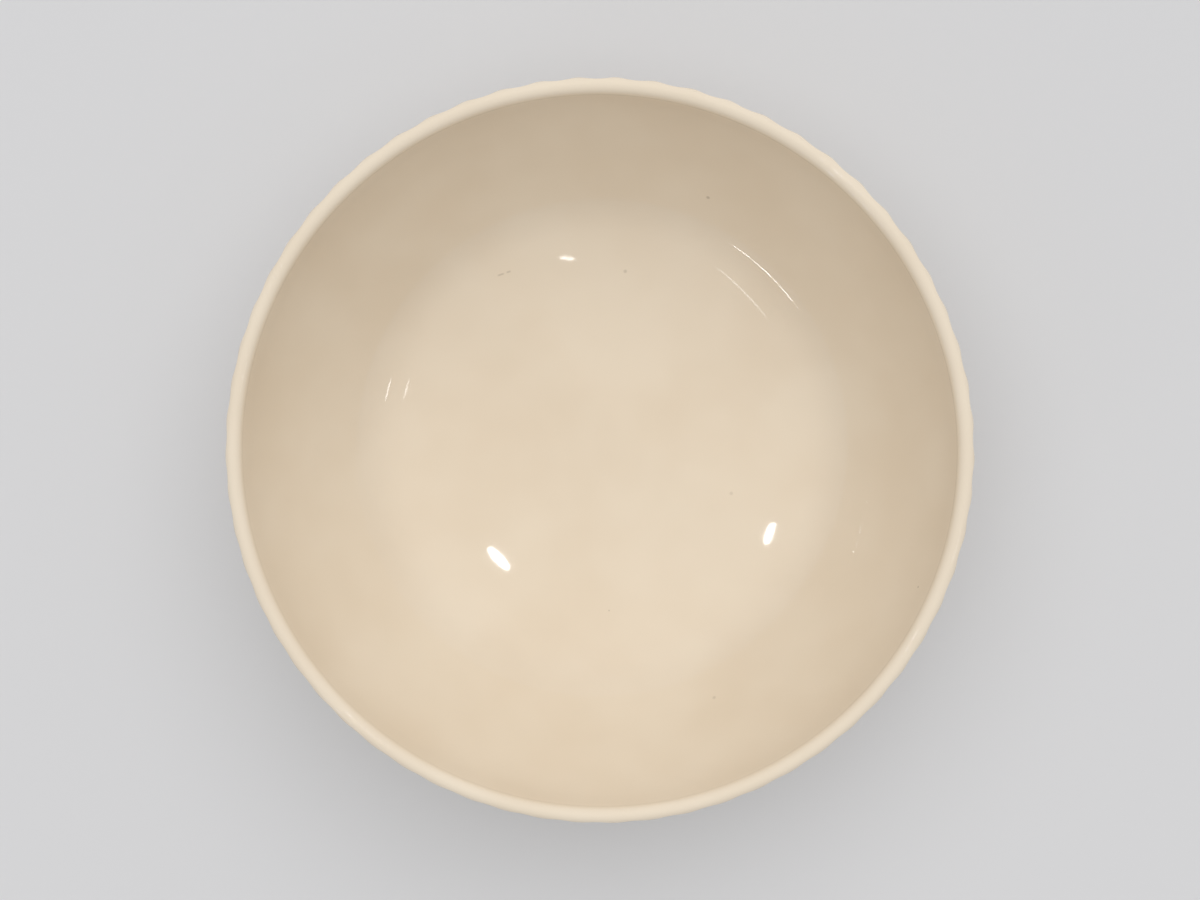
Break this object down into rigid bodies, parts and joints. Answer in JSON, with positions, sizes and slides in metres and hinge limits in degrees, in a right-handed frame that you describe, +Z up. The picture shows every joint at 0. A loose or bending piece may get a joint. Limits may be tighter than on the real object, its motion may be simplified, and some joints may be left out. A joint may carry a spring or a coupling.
{
  "type": "soy sauce dish",
  "caption": "Small round cream-glazed stoneware dish with a smooth dished well, a rounded lip, a finely fluted outside and a bare foot ring, for soy sauce or other dips.",
  "frame": {"origin": "middle of the foot ring's standing face, on the table", "axes": "+Z up along the dish's axis, out of the well; X and Y lie in the table's plane, and the dish is round, so neither has a front"},
  "size_m": [0.09, 0.09, 0.03],
  "materials": {
    "stoneware": "bare fired stoneware, matt and slightly sandy",
    "liner_glaze": "cream glaze, glossy, with a few iron specks",
    "outer_glaze": "cream glaze, glossy, thin and paler on the lands between the flutes"
  },
  "bodies": {
    "root": {"stoneware_body": "stoneware", "inside_glaze": "liner_glaze", "outside_glaze": "outer_glaze", "base_glaze": "outer_glaze"}
  },
  "joints": []
}
